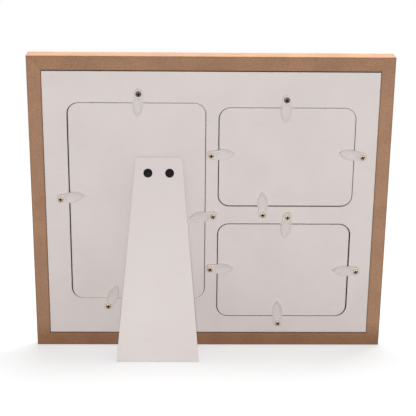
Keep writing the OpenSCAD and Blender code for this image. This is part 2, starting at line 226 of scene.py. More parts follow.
class FastenerSizes(bpy.types.PropertyGroup):
    """Sizes of the screws and rivets."""

    screw_head: length("Screw head", 4.6, "Diameter of a screw's head")
    screw_height: length("Screw head height", 1.1, "Height of a screw's head")
    screw_thread: length("Screw thread", 2.2, "Diameter of a screw's thread")
    screw_length: length("Screw length", 5.6, "Length of a screw under its head")
    recess_length: length("Recess length", 3.1, "Length of each slot of the cross recess")
    recess_width: length("Recess width", 1.05, "Width of each slot of the cross recess")
    recess_depth: length("Recess depth", 0.75, "Depth of the cross recess")
    old_age: amount("Old screws", 1.0, "Tarnish of the two old screws")
    young_age: amount("Young screws", 0.12, "Tarnish of the other screws")
    rivet_head: length("Rivet head", 7, "Diameter of the black rivet heads")
    rivet_height: length("Rivet head height", 0.9, "Height of the black rivet heads")
    rivet_shank: length("Rivet shank", 2.8, "Diameter of a rivet's shank")
    flat_head: length("Flat head", 4.4, "Diameter of the flat heads between the hinge leaves")
    flat_height: length("Flat head height", 0.5, "Height of the flat heads")
    rivet_spacing: length("Rivet spacing", 16.8, "Distance between the two rivets in a leaf")
    rivet_edge: length("Rivet edge", 4, "Leaf left beyond the middle of a rivet")
    seed: count("Seed", 5, "Seed for the way the cross recesses stand")


class HingeSizes(bpy.types.PropertyGroup):
    """Sizes of the pressed hinge leaves."""

    sheet: length("Sheet", 0.55, "Thickness of the sheet")
    knuckle: length("Knuckle", 2.4, "Outer diameter of the rolled knuckles")
    end_gap: length("End gap", 0.1, "Gap between neighbouring knuckles")
    notch: length("Notch", 1.75, "Distance from the pin to the leaf beside the other leaf's knuckle")
    bevel: length("Edge bevel", 0.08, "Bevel on the sheet's edges")


class FinishColours(bpy.types.PropertyGroup):
    """Colours of the finishes."""

    board_dark: colour("Fibreboard, dark", (0.268, 0.139, 0.078), "Darkest fibres of the bare fibreboard")
    board_light: colour("Fibreboard, light", (0.49, 0.294, 0.186), "Lightest fibres of the bare fibreboard")
    # Painted shade near the floor: the bare fibreboard there is multiplied by this colour, and the upper
    # rail takes a share of it
    painted_shade_tint: colour("Board shade", (0.75, 0.67, 0.60), "What the board near the floor is darkened by")
    board_skin: colour("Fibreboard skin", (0.70, 0.42, 0.265), "Pressed skin on the rails' outer faces")
    paint: colour("Paint", (0.70, 0.635, 0.615), "Paint on the back panel, the doors and the leg")
    paint_worn: colour("Worn paint", (0.47, 0.41, 0.36), "Paint rubbed thin along an edge")
    # Cut edges: the board's grey core, made near-black as painted shade in the gaps around the panel and the
    # doors
    core_and_gap_shade: colour("Board core", (0.06, 0.055, 0.047), "Cut edge of the painted boards")
    plastic: colour("Plastic", (0.66, 0.60, 0.58), "Moulded turn buttons")
    brass: colour("Brass", (0.50, 0.395, 0.305), "Clean pale brass on the screws")
    tarnish: colour("Tarnish", (0.105, 0.08, 0.065), "Tarnish on the screws")
    # Near-black colour of the cross recesses: partly dirt, partly painted shade
    dirt: colour("Dirt", (0.022, 0.012, 0.007), "Dirt in the cross recesses")
    zinc: colour("Zinc", (0.55, 0.55, 0.54), "Plated steel of the hinge and the wedges")
    enamel: colour("Black enamel", (0.008, 0.008, 0.008), "Enamel on the rivet heads")
    glass: colour("Glass", (0.997, 0.999, 0.998), "Glass of the pane")
    mat_face: colour("Mat face", (0.82, 0.77, 0.685), "Face of the mat")
    mat_core: colour("Mat core", (0.86, 0.855, 0.83), "Bevelled core of the mat")
    # Painted shade: the mat's back is made near-black so that the gaps around the doors read dark
    mat_back_gap_shade: colour("Mat back", (0.075, 0.068, 0.06), "Back of the mat, seen in the gaps around the doors")
    paper: colour("Paper", (0.83, 0.815, 0.79), "Blank inserts")


class StageSettings(bpy.types.PropertyGroup):
    """Floor, lamps and camera."""

    camera_place: spot("Camera place", (0.01972, 0.91520, 0.17991), "Where the camera stands")
    camera_turn: several(
        "Camera turn", [math.radians(angle) for angle in (85.9213, -0.2783, 178.8767)],
        "Which way the camera looks", subtype="EULER",
    )
    lens: amount("Lens", 100.42, "Focal length of the lens", unit="CAMERA")
    high_lamp: spot("High lamp", (-0.08, -0.25, 1.15), "Where the lamp above the frame hangs")
    high_size: length("High lamp size", 800, "Side of the square lamp above the frame")
    high_power: amount("High lamp power", 14.2, "Power of the lamp above the frame", unit="POWER")
    low_lamp: spot("Low lamp", (-0.02, 3.2, 0.14), "Where the lamp behind the camera stands")
    low_size: length("Low lamp size", 200, "Side of the square lamp behind the camera")
    low_power: amount("Low lamp power", 64, "Power of the lamp behind the camera", unit="POWER")
    lamp_aim: spot("Lamp aim", (0, 0, 0.12), "What the lamps point at")
    sky: amount("Sky", 0.19, "Strength of the plain light from all round")
    floor_size: length("Floor size", 24000, "Side of the square floor")
    floor: colour("Floor", (0.50, 0.50, 0.50), "Colour of the floor")
    floor_glow: amount("Floor glow", 0.62, "How much the floor near the frame is lifted towards white")
    glow_start: length("Glow start", 450, "Distance from the frame where the floor starts to turn white")
    glow_end: length("Glow end", 1500, "Distance from the frame where the floor is all white")


SETTINGS = {
    "rail_sizes": RailSizes,
    "board_sizes": BoardSizes,
    "button_sizes": ButtonSizes,
    "fastener_sizes": FastenerSizes,
    "hinge_sizes": HingeSizes,
    "finish_colours": FinishColours,
    "stage_settings": StageSettings,
}


# Outlines, as lists of flat points


def quarter_turns(steps):
    """Angles from 0 to a quarter turn."""
    return [math.pi / 2 * step / steps for step in range(steps + 1)]


def arc(middle, radius, start, end, steps):
    """Points of an arc about a middle, its angles in degrees."""
    angles = [math.radians(start + (end - start) * step / steps) for step in range(steps + 1)]
    return [Vector(middle) + radius * Vector((math.cos(angle), math.sin(angle))) for angle in angles]


def rectangle(low, high):
    """Outline of a rectangle."""
    return [Vector(low), Vector((high[0], low[1])), Vector(high), Vector((low[0], high[1]))]


def rounded_rectangle(low, high, radius, steps):
    """Outline of a rectangle with round corners."""
    inwards = Vector((radius, radius))
    outline = []
    for middle, start in zip(rectangle(low + inwards, high - inwards), (180, 270, 0, 90)):
        outline += arc(middle, radius, start, start + 90, steps)
    return outline


def inner_corners(low, high, insets):
    """Flat corners of a rectangle inside a box, by its insets right, left, above and below."""
    right, left, above, below = insets
    return low.xz + Vector((right, below)), high.xz - Vector((left, above))


def as_opening(outline):
    """The outline run the other way, so that the board lies outside it."""
    return outline[::-1]


def inset_outline(outline, distance):
    """Moves a closed outline to its left by a distance and keeps its corners."""
    moved = []
    for before, point, after in zip(outline[-1:] + outline[:-1], outline, outline[1:] + outline[:1]):
        arriving = (point - before).normalized()
        leaving = (after - point).normalized()
        left = Vector((-arriving.y - leaving.y, arriving.x + leaving.x))
        moved.append(point + left * distance / (1 + arriving.dot(leaving)))
    return moved


# Meshes built ring by ring


class Ring(NamedTuple):
    """A ring around an outline: how far inside it, how far out along Y, how worn and how raw."""

    inset: float
    out: float
    worn: float = 0.0
    raw: float = 0.0


def new_shape():
    """Empty mesh with the values that the finishes read."""
    shape = bmesh.new()
    for value in ("worn", "raw"):
        shape.verts.layers.float.new(value)
    return shape


def add_rings(shape, outline, rings):
    """Joins the rings around an outline with faces, and returns the first and the last."""
    worn = shape.verts.layers.float["worn"]
    raw = shape.verts.layers.float["raw"]
    made = []
    for ring in rings:
        points = inset_outline(outline, ring.inset)
        verts = [shape.verts.new((point.x, ring.out, point.y)) for point in points]
        for vert in verts:
            vert[worn] = ring.worn
            vert[raw] = ring.raw
        made.append(verts)
    for low, high in zip(made, made[1:]):
        for i in range(len(outline)):
            shape.faces.new((low[i - 1], low[i], high[i], high[i - 1]))
    return made[0], made[-1]


def add_cap(shape, *rings):
    """Fills the flat face that rings bound."""
    edges = [shape.edges.get((ring[i - 1], ring[i])) for ring in rings for i in range(len(ring))]
    bmesh.ops.triangle_fill(shape, edges=edges, use_beauty=True)


def rounded_edge(radius, corner_out, inwards, steps=5):
    """Rings over a rounded edge: from its side to its face, or the other way round where inwards is -1."""
    rings = [
        Ring(radius * (1 - math.cos(turn)), corner_out - inwards * radius * (1 - math.sin(turn)), worn=1.0)
        for turn in quarter_turns(steps)
    ]
    return rings if inwards > 0 else rings[::-1]


def board_rings(front, back, soft, sizes):
    """Rings from a board's front face, over its cut edge, to its painted back face with its edge radius."""
    hard, wear = sizes.front_radius, sizes.wear_width
    return [
        Ring(wear, front, raw=1.0),
        *[ring._replace(raw=1.0) for ring in rounded_edge(hard, front, -1)],
        Ring(0, back - soft - SHORT_STEP, worn=1.0, raw=1.0),
        *rounded_edge(soft, back, 1),
        Ring(soft + SHORT_STEP, back, worn=0.9),
        Ring(wear, back),
    ]


def mat_rings(front, back, slope):
    """Rings from the mat's face, over an edge that slopes inwards, to its back."""
    return [
        Ring(slope + MAT_MARGIN, front),
        Ring(slope + SHORT_STEP, front),
        Ring(slope, front, raw=1.0),
        Ring(0, back, raw=1.0),
        # On the mat the worn mark stands for its back, which takes the painted shade colour
        Ring(SHORT_STEP, back, worn=1.0),
        Ring(MAT_MARGIN, back, worn=1.0),
    ]


def board_shape(edges):
    """Solid board from its edges, each an outline and the rings that go around it."""
    shape = new_shape()
    ends = [add_rings(shape, outline, rings) for outline, rings in edges]
    for bounds in zip(*ends):
        add_cap(shape, *bounds)
    return shape


def new_object(name, data):
    """New object in the scene, at the origin."""
    made = bpy.data.objects.new(name, data)
    bpy.context.scene.collection.objects.link(made)
    return made


def set_finish(mesh, finish):
    """Gives a mesh one material."""
    mesh.materials.clear()
    mesh.materials.append(bpy.data.materials[finish])


def show(mesh, place, name, finish, body, *nodes):
    """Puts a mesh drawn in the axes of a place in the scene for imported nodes, riding on their body."""
    mesh.name = name
    mesh.transform(place)
    mesh.shade_smooth()
    mesh.set_sharp_from_angle(angle=SHARP_ANGLE)
    set_finish(mesh, finish)
    piece = new_object(name, mesh)
    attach(piece, body)
    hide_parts(*nodes)
    return piece


def show_shape(shape, place, name, finish, body, *nodes):
    """Shows a shape that was built face by face."""
    bmesh.ops.recalc_face_normals(shape, faces=shape.faces)
    mesh = bpy.data.meshes.new(name)
    shape.to_mesh(mesh)
    shape.free()
    return show(mesh, place, name, finish, body, *nodes)


def finish_nodes(finish, *nodes):
    """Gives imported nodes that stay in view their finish."""
    for node in nodes:
        set_finish(frame["nodes"][node].data, finish)


# Node trees for the finishes and for what repeats


class Nodes:
    """Writes the nodes of a tree; an input takes a plain value or another node's output."""

    def __init__(self, tree):
        self.tree = tree

    def add(self, kind, inputs=(), **settings):
        """Adds a node with its settings, and sets inputs by name or number."""
        made = self.tree.nodes.new(kind)
        for name, value in settings.items():
            setattr(made, name, value)
        for key, value in dict(inputs).items():
            if isinstance(value, bpy.types.NodeSocket):
                self.tree.links.new(value, made.inputs[key])
            else:
                made.inputs[key].default_value = value
        return made

    def out(self, kind, inputs=(), output=0, **settings):
        """Adds a node and returns one of its outputs."""
        return self.add(kind, inputs, **settings).outputs[output]

    def calculate(self, operation, first, second=0.0, third=0.0):
        """Result of a Math node."""
        return self.out("ShaderNodeMath", {0: first, 1: second, 2: third}, operation=operation)

    def times(self, first, second):
        """Product of two values."""
        return self.calculate("MULTIPLY", first, second)

    def vector(self, **parts):
        """Vector from its X, Y and Z."""
        return self.out("ShaderNodeCombineXYZ", parts)

    def spread(self, value, low, high, new_low=0.0, new_high=1.0):
        """Maps a range of a value to another, smoothly and with nothing beyond its ends."""
        inputs = {"Value": value, "From Min": low, "From Max": high, "To Min": new_low, "To Max": new_high}
        return self.out("ShaderNodeMapRange", inputs, "Result", interpolation_type="SMOOTHSTEP")

    def vary(self, noise, low, high):
        """Maps the usual range of a noise to another."""
        return self.spread(noise, *NOISE_RANGE, low, high)

    def mix(self, share, first, second, way="MIX"):
        """Mixes two colours, given as outputs or as colour properties."""
        first, second = [c if isinstance(c, bpy.types.NodeSocket) else (*c, 1.0) for c in (first, second)]
        inputs = {0: share, 6: first, 7: second}
        return self.out("ShaderNodeMix", inputs, 2, data_type="RGBA", blend_type=way)

    def scaled(self, base, factor):
        """Makes a colour lighter or darker by a factor."""
        grey = self.out("ShaderNodeCombineColor", {0: factor, 1: factor, 2: factor})
        return self.mix(1.0, base, grey, "MULTIPLY")

    def tinted(self, base, noise, low, high):
        """Makes a colour lighter and darker with a noise."""
        return self.scaled(base, self.vary(noise, low, high))


class Finish(Nodes):
    """Writes a material; its grain sizes and relief depths are in millimetres."""

    def __init__(self, name):
        material = bpy.data.materials.new(name)
        material.use_nodes = True
        material.node_tree.nodes.clear()
        super().__init__(material.node_tree)
        self.place = self.out("ShaderNodeTexCoord", output="Object")

    def grain(self, size, detail=2, roughness=0.5, stretch=None):
        """Noise whose lumps are about a size, and run longer along the directions that are stretched."""
        place = self.place
        if stretch:
            shares = [1 / share for share in stretch]
            place = self.out("ShaderNodeMapping", {"Vector": place, "Scale": shares})
        inputs = {"Vector": place, "Scale": 1 / (size * MM), "Detail": detail, "Roughness": roughness}
        return self.out("ShaderNodeTexNoise", inputs, "Fac")

    def cells(self, size, output):
        """Pattern of cells about a size: the distance from their middles, or a colour for each."""
        return self.out("ShaderNodeTexVoronoi", {"Vector": self.place, "Scale": 1 / (size * MM)}, output)

    def flecks(self, spacing, size, strength):
        """Scattered specks, with a strength in their middle and 0 around them."""
        near = self.cells(spacing, "Distance")
        return self.times(self.spread(near, 0.0, size / spacing, 1.0, 0.0), strength)

    def read(self, name):
        """Value that the mesh carries under a name."""
        return self.out("ShaderNodeAttribute", output="Fac", attribute_name=name)

    def relief(self, height, depth, normal=None):
        """Bump of a given depth, over an earlier one where there is one."""
        inputs = {"Height": height, "Strength": 1.0, "Distance": depth * MM}
        if normal:
            inputs["Normal"] = normal
        return self.out("ShaderNodeBump", inputs, "Normal")

    def close(self, base, roughness, normal, **constants):
        """Ends the material in its surface; the constants are set on the surface's own sockets."""
        inputs = {"Base Color": base, "Roughness": roughness, "Normal": normal}
        inputs.update({name.replace("_", " "): value for name, value in constants.items()})
        surface = self.out("ShaderNodeBsdfPrincipled", inputs, "BSDF")
        self.add("ShaderNodeOutputMaterial", {"Surface": surface})


def make_fibreboard(colours):
    """Bare fibreboard: short matted fibres, dark chips, a lighter pressed skin outside, painted shade near
    the floor, and a share of the same darkening on the upper rail.
    """
    board = Finish("bare_fibreboard")
    fibres = board.grain(0.5, detail=4, roughness=0.65)
    strands = board.grain(0.7, detail=3, stretch=(2, 1, 1))
    matted = board.calculate("MULTIPLY_ADD", fibres, 0.7, board.times(strands, 0.3))
    cut = board.mix(board.spread(matted, 0.25, 0.75), colours.board_dark, colours.board_light)
    chips = board.flecks(spacing=2.6, size=0.45, strength=0.45)
    cut = board.mix(chips, cut, colours.board_dark)
    skin = board.scaled(colours.board_skin, board.spread(matted, 0.25, 0.75, 0.9, 1.08))
    base = board.mix(board.read("skin"), cut, skin)
    base = board.tinted(base, board.grain(26), 0.93, 1.06)
    # Painted shade: the board is darkened towards the floor, and the upper rail by its own share
    height = board.out("ShaderNodeSeparateXYZ", {0: board.place}, "Z")
    painted_floor_shade = board.spread(height, *SHADE_FADE, 1.0, 0.0)
    shade = board.calculate("MAXIMUM", board.read("shade"), painted_floor_shade)
    shaded = board.mix(1.0, base, colours.painted_shade_tint, "MULTIPLY")
    base = board.mix(shade, base, shaded)
    worn = board.times(board.read("worn"), board.spread(strands, 0.3, 0.6, 0.15, 0.5))
    base = board.mix(worn, base, colours.board_dark)
    normal = board.relief(matted, 0.12)
    board.close(base, board.vary(matted, 0.95, 0.8), normal, Specular_IOR_Level=0.25)


def make_paint(colours):
    """White paint on board: a fine orange peel, dust, faint scuffs and rubbed edges over a grey core, which
    is made near-black as painted shade in the gaps.
    """
    paint = Finish("painted_board")
    clouds = paint.grain(38, detail=3)
    base = paint.tinted(colours.paint, clouds, 0.975, 1.02)
    scuffs = paint.grain(1.1, stretch=(14, 1, 2))
    base = paint.scaled(base, paint.spread(scuffs, 0.62, 0.8, 1.0, 0.95))
    dust = paint.flecks(spacing=6.5, size=0.4, strength=0.3)
    base = paint.mix(dust, base, colours.paint_worn)
    chipped = paint.spread(paint.grain(1.6, detail=4, roughness=0.7), 0.5, 0.68)
    worn = paint.times(paint.read("worn"), chipped)
    base = paint.mix(paint.times(worn, 0.7), base, colours.paint_worn)
    layers = paint.grain(0.5, detail=3, stretch=(6, 1, 6))
    raw = paint.read("raw")
    # The cut core's near-black colour is partly the board's own core, partly painted shade in the gaps
    base = paint.mix(raw, base, paint.tinted(colours.core_and_gap_shade, layers, 0.75, 1.25))
    roughness = paint.calculate("MAXIMUM", paint.vary(clouds, 0.46, 0.58), raw)
    normal = paint.relief(paint.grain(0.9), 0.02)
    normal = paint.relief(paint.times(layers, raw), 0.15, normal)
    paint.close(base, roughness, normal, Specular_IOR_Level=0.4)


def make_plastic(colours):
    """Moulded white plastic: satin skin with faint flow marks and a little dirt."""
    plastic = Finish("button_plastic")
    flow = plastic.grain(2.2, stretch=(1, 1, 3))
    base = plastic.tinted(colours.plastic, flow, 0.97, 1.02)
    dirt = plastic.flecks(spacing=3.2, size=0.25, strength=0.35)
    base = plastic.mix(dirt, base, colours.paint_worn)
    normal = plastic.relief(plastic.grain(0.25), 0.006, plastic.relief(flow, 0.03))
    roughness = plastic.vary(flow, 0.3, 0.42)
    plastic.close(base, roughness, normal, Subsurface_Weight=0.08, Subsurface_Scale=0.4 * MM)


def make_brass(colours):
    """Brass screws: turning marks, tarnish that grows with age, and dirt and painted shade in the cross
    recess.
    """
    brass = Finish("screw_brass")
    spots = brass.grain(0.7, detail=4, roughness=0.65)
    scratches = brass.grain(0.15, stretch=(8, 1, 1))
    aged = brass.calculate("MULTIPLY_ADD", brass.read("age"), 0.85, brass.spread(spots, 0.5, 0.9))
    aged = brass.calculate("MINIMUM", aged, 1.0)
    base = brass.mix(aged, colours.brass, colours.tarnish)
    # The cross recess is made near-black: partly dirt, partly painted shade
    base = brass.mix(brass.read("recess"), base, colours.dirt)
    normal = brass.relief(scratches, 0.01, brass.relief(spots, 0.02))
    brass.close(base, brass.spread(aged, 0.0, 1.0, 0.55, 0.6), normal, Metallic=1.0)


def make_steel(name, colours, crystal, dullness):
    """Zinc plating: a pattern of crystals, rubbing marks and dull patches."""
    steel = Finish(name)
    tone = steel.out("ShaderNodeSeparateColor", {0: steel.cells(crystal, "Color")})
    patches = steel.grain(5, detail=3)
    base = steel.scaled(colours.zinc, steel.spread(tone, 0.0, 1.0, 0.88, 1.1))
    base = steel.scaled(base, steel.spread(patches, 0.35, 0.7, 1.0, 0.8))
    normal = steel.relief(steel.grain(0.2, stretch=(1, 1, 10)), 0.012)
    steel.close(base, steel.vary(patches, dullness, dullness + 0.18), normal, Metallic=1.0)


def make_enamel(colours):
    """Black enamel on the rivet heads: thin and slightly greyed where it is handled."""
    enamel = Finish("rivet_black")
    skin = enamel.grain(0.6, detail=3)
    rubbed = enamel.spread(enamel.grain(1.6, detail=4, roughness=0.7), 0.5, 0.72)
    base = enamel.mix(enamel.times(rubbed, 0.03), colours.enamel, colours.zinc)
    normal = enamel.relief(skin, 0.02)
    enamel.close(base, enamel.vary(skin, 0.48, 0.62), normal, Specular_IOR_Level=0.06)


def make_glass(colours):
    """Clear pane with faint smears."""
    pane = Finish("pane")
    smears = pane.grain(9, detail=3, stretch=(4, 1, 1))
    ripple = pane.grain(60, detail=1)
    base = pane.tinted(colours.glass, ripple, 0.99, 1.0)
    roughness = pane.spread(smears, 0.55, 0.8, 0.0, 0.06)
    pane.close(base, roughness, pane.relief(ripple, 0.02), Transmission_Weight=1.0, IOR=1.5)


def make_mat(colours):
    """Mat card: a faintly toothed face, a white core in the window bevels and a dark grey back, which is
    painted shade for the gaps around the doors.
    """
    card = Finish("mat_card")
    tooth = card.grain(0.45, detail=3)
    face = card.tinted(colours.mat_face, card.grain(0.8, stretch=(5, 1, 1)), 0.975, 1.02)
    core = card.tinted(colours.mat_core, tooth, 0.97, 1.01)
    base = card.mix(card.read("raw"), face, core)
    # Painted shade: the worn mark carries the mat's back, which is coloured near-black for the gaps
    base = card.mix(card.read("worn"), base, colours.mat_back_gap_shade)
    card.close(base, card.vary(tooth, 0.82, 0.95), card.relief(tooth, 0.03), Specular_IOR_Level=0.2)


def make_paper(colours):
    """Blank insert paper with a faint fibre."""
    paper = Finish("insert_paper")
    fibre = paper.grain(0.35, detail=3, stretch=(1, 1, 3))
    base = paper.tinted(colours.paper, paper.grain(14), 0.985, 1.01)
    paper.close(base, paper.vary(fibre, 0.6, 0.75), paper.relief(fibre, 0.008), Specular_IOR_Level=0.3)


class Grower(Nodes):
    """Writes a Geometry Nodes tree with named inputs, given as name and socket kind."""

    def __init__(self, name, inputs):
        super().__init__(bpy.data.node_groups.new(name, "GeometryNodeTree"))
        sockets = [
            ("Geometry", "INPUT", "Geometry"),
            *[(label, "INPUT", kind) for label, kind in inputs.items()],
            ("Geometry", "OUTPUT", "Geometry"),
        ]
        for label, side, kind in sockets:
            self.tree.interface.new_socket(label, in_out=side, socket_type=f"NodeSocket{kind}")
        self.given = self.add("NodeGroupInput").outputs

    def position(self):
        """Place of each point, as outputs X, Y and Z."""
        return self.add("ShaderNodeSeparateXYZ", {0: self.out("GeometryNodeInputPosition")}).outputs

    def moved(self, geometry, along=0.0, turn=(0, 0, 0), scale=(1, 1, 1)):
        """Geometry moved along Z, turned and scaled."""
        shift = self.vector(Z=along)
        inputs = {"Geometry": geometry, "Translation": shift, "Rotation": turn, "Scale": scale}
        return self.out("GeometryNodeTransform", inputs)

    def joined(self, *geometries):
        """Several geometries as one."""
        join = self.add("GeometryNodeJoinGeometry")
        for geometry in geometries:
            self.tree.links.new(geometry, join.inputs[0])
        return join.outputs[0]

    def domed_head(self, diameter, height, fullness, segments):
        """Closed domed head that stands on Z 0, from a ball whose lower half is pressed flat."""
        inputs = {"Segments": segments, "Rings": HEAD_RINGS, "Radius": 1.0}
        ball = self.out("GeometryNodeMeshUVSphere", inputs)
        place = self.position()
        radius = self.times(diameter, 0.5)
        rise = self.calculate("POWER", self.calculate("MAXIMUM", place["Z"], 0.0), fullness)
        pressed = self.vector(
            X=self.times(place["X"], radius), Y=self.times(place["Y"], radius), Z=self.times(rise, height)
        )
        return self.out("GeometryNodeSetPosition", {"Geometry": ball, "Position": pressed})

    def round_bar(self, diameter, bar_length, top, segments):
        """Round bar whose upper end is at a height."""
        inputs = {"Vertices": segments, "Radius": self.times(diameter, 0.5), "Depth": bar_length}
        bar = self.out("GeometryNodeMeshCylinder", inputs)
        return self.moved(bar, along=self.calculate("MULTIPLY_ADD", bar_length, -0.5, top))

    def set_on_points(self, piece):
        """Ends the tree in copies of a piece on its points, laid along Y and turned about it by chance."""
        laid = self.moved(piece, turn=(math.radians(-90), 0, 0))
        seed = {"Seed": self.given["Seed"]}
        chance = self.out("FunctionNodeRandomValue", seed, "Value", data_type="FLOAT")
        spin = self.vector(Y=self.times(chance, math.tau))
        turn = self.out("FunctionNodeEulerToRotation", {"Euler": spin})
        inputs = {"Points": self.given["Geometry"], "Instance": laid, "Rotation": turn}
        self.close(self.out("GeometryNodeInstanceOnPoints", inputs))

    def close(self, geometry):
        """Ends the tree in plain geometry with its finish."""
        plain = self.out("GeometryNodeRealizeInstances", {"Geometry": geometry})
        inputs = {"Geometry": plain, "Material": self.given["Finish"]}
        self.add("NodeGroupOutput", {"Geometry": self.out("GeometryNodeSetMaterial", inputs)})


def start_mesh(name, points, edges, **values):
    """Mesh of points and edges that a tree grows a piece from, with named values on its points."""
    mesh = bpy.data.meshes.new(name)
    mesh.from_pydata(points, edges, [])
    for label, numbers in values.items():
        mesh.attributes.new(label, "FLOAT", "POINT").data.foreach_set("value", numbers)
    return mesh


def show_grown(start, tree, values, place, name, finish, body, *nodes):
    """Shows the plain mesh that a tree grows from a start mesh, with a value for each named input."""
    values = {**values, "Finish": bpy.data.materials[finish]}
    holder = new_object(start.name, start)
    modifier = holder.modifiers.new(tree.name, "NODES")
    modifier.node_group = tree
    for socket in tree.interface.items_tree:
        if socket.in_out == "INPUT" and socket.name in values:
            modifier[socket.identifier] = values[socket.name]
    mesh = bpy.data.meshes.new_from_object(holder.evaluated_get(bpy.context.evaluated_depsgraph_get()))
    holder.modifiers.remove(modifier)
    bpy.data.objects.remove(holder)
    return show(mesh, place, name, finish, body, *nodes)


# Rails


class SectionPoint(NamedTuple):
    """Point of a rail's section: how far towards the back, how far in from the outer edge, wear and skin."""

    back: float
    into: float
    worn: float
    skin: float


def eased_corner(point, before, after, radius, wear, skins, steps=6):
    """Points that round a corner of a section, with unworn points on either side of it."""
    arriving = (point - before).normalized()
    leaving = (after - point).normalized()
    start = point - arriving * radius
    middle = start + leaving * radius
    made = [(start - arriving * wear, 0.0, skins[0]), (start - arriving * SHORT_STEP, 0.9, skins[0])]
    for step, turn in enumerate(quarter_turns(steps)):
        rounded = middle - leaving * radius * math.cos(turn) + arriving * radius * math.sin(turn)
        made.append((rounded, 1.0, skins[0] if 2 * step < steps else skins[1]))
    end = point + leaving * radius
    made += [(end + leaving * SHORT_STEP, 0.9, skins[1]), (end + leaving * wear, 0.0, skins[1])]
    return [SectionPoint(place.x, place.y, worn, skin) for place, worn, skin in made]


def rail_section(depth, sizes, back_width, lip_width):
    """Section of a rail, from the outer front edge round by the back to the lip."""
    front, lip = -depth, sizes.lip_depth - depth
    outer, inner = sizes.edge_radius, sizes.inner_radius
    corners = [Vector(corner) for corner in (
        (front, 0), (0, 0), (0, back_width), (lip, back_width), (lip, lip_width), (front, lip_width),
    )]
    radii = [outer, outer, inner, 0, inner, outer]
    skin_after = [1, 0, 0, 0, 0, 1]
    points = []
    for i, corner in enumerate(corners):
        if radii[i] == 0:
            points.append(SectionPoint(corner.x, corner.y, 0, 0))
            continue
        after = corners[(i + 1) % len(corners)]
        skins = (skin_after[i - 1], skin_after[i])
        points += eased_corner(corner, corners[i - 1], after, radii[i], sizes.wear_width, skins)
    return points


def section_mesh(points, shade):
    """Closed line of a rail's section, turned so that the sweep sets it upright, with the rail's shade."""
    size = len(points)
    return start_mesh(
        "rail_section", [(-point.back, -point.into, 0) for point in points],
        [(i, (i + 1) % size) for i in range(size)],
        worn=[point.worn for point in points], skin=[point.skin for point in points], shade=[shade] * size,
    )


def rail_tree():
    """Tree that sweeps a section along a straight rail and mitres both ends."""
    rail = Grower("Mitred rail", {"Length": "Float", "Mitre gap": "Float", "Finish": "Material"})
    section = rail.out("GeometryNodeMeshToCurve", {"Mesh": rail.given["Geometry"]})
    half = rail.times(rail.given["Length"], 0.5)
    start, end = [rail.vector(X=rail.times(half, side)) for side in (-1.0, 1.0)]
    line = rail.out("GeometryNodeCurvePrimitiveLine", {"Start": start, "End": end})
    sweep = {"Curve": line, "Profile Curve": section, "Fill Caps": True}
    swept = rail.out("GeometryNodeCurveToMesh", sweep)
    place = rail.position()
    trim = rail.calculate("ADD", place["Z"], rail.given["Mitre gap"])
    back_off = rail.times(rail.calculate("SIGN", place["X"]), trim)
    offset = rail.vector(X=rail.times(back_off, -1.0))
    rail.close(rail.out("GeometryNodeSetPosition", {"Geometry": swept, "Offset": offset}))
    return rail.tree


class MakeRails(bpy.types.Operator):
    """Sweep the four mitred rails of bare fibreboard"""

    bl_idname = "picture_frame.rails"
    bl_label = "Make the rails"

    def execute(self, context):
        sizes = context.scene.rail_sizes
        low, lip_top = extent("rail_bottom", UPRIGHT)
        high = extent("rail_top", UPRIGHT)[1]
        width, height = high.x - low.x, high.z - low.z
        right, left, above, below = sizes.back_widths
        rails = {
            "rail_bottom": ((0, 0, 0), 0, width, below, 0.0),
            "rail_top": ((0, 0, height), 180, width, above, sizes.top_shade),
            "rail_left": ((high.x, 0, height / 2), -90, height, left, 0.0),
            "rail_right": ((low.x, 0, height / 2), 90, height, right, 0.0),
        }
        tree = rail_tree()
        for rail, (start, turn, rail_length, back_width, shade) in rails.items():
            section = section_mesh(rail_section(-low.y, sizes, back_width, lip_top.z), shade)
            turned = Matrix.Translation(start) @ Matrix.Rotation(math.radians(turn), 4, "Y")
            values = {"Length": rail_length, "Mitre gap": sizes.mitre_gap}
            name = f"{rail}_moulding"
            show_grown(section, tree, values, UPRIGHT @ turned, name, "bare_fibreboard", "frame", rail)
        return {"FINISHED"}


# Boards


class MakeBackPanel(bpy.types.Operator):
    """Cut the painted back panel with its three openings"""

    bl_idname = "picture_frame.back_panel"
    bl_label = "Make the back panel"

    def execute(self, context):
        sizes = context.scene.board_sizes
        low, high = extent("back_panel", UPRIGHT)
        rings = board_rings(low.y, high.y, sizes.edge_radius, sizes)
        frame_low, frame_high = extent("rail_bottom", UPRIGHT)[0], extent("rail_top", UPRIGHT)[1]
        insets = [width + gap for width, gap in zip(context.scene.rail_sizes.back_widths, sizes.panel_gaps)]
        edges = [(rectangle(*inner_corners(frame_low, frame_high, insets)), rings)]
        for door in DOORS:
            corners = inner_corners(*extent(f"door_{door}", UPRIGHT), 4 * [-sizes.door_gap])
            radius = sizes.door_corner + sizes.door_gap
            edges.append((as_opening(rounded_rectangle(*corners, radius, sizes.corner_steps)), rings))
        show_shape(board_shape(edges), UPRIGHT, "back_panel_board", "painted_board", "frame", "back_panel")
        return {"FINISHED"}


class MakeDoors(bpy.types.Operator):
    """Cut the three painted doors"""

    bl_idname = "picture_frame.doors"
    bl_label = "Make the doors"

    def execute(self, context):
        sizes = context.scene.board_sizes
        for door in DOORS:
            low, high = extent(f"door_{door}", UPRIGHT)
            insets = [gap - sizes.door_gap for gap in getattr(sizes, f"{door}_gaps")]
            corners = inner_corners(low, high, insets)
            outline = rounded_rectangle(*corners, sizes.door_corner, sizes.corner_steps)
            shape = board_shape([(outline, board_rings(low.y, high.y, sizes.edge_radius, sizes))])
            show_shape(shape, UPRIGHT, f"door_{door}_board", "painted_board", "frame", f"door_{door}")
        return {"FINISHED"}


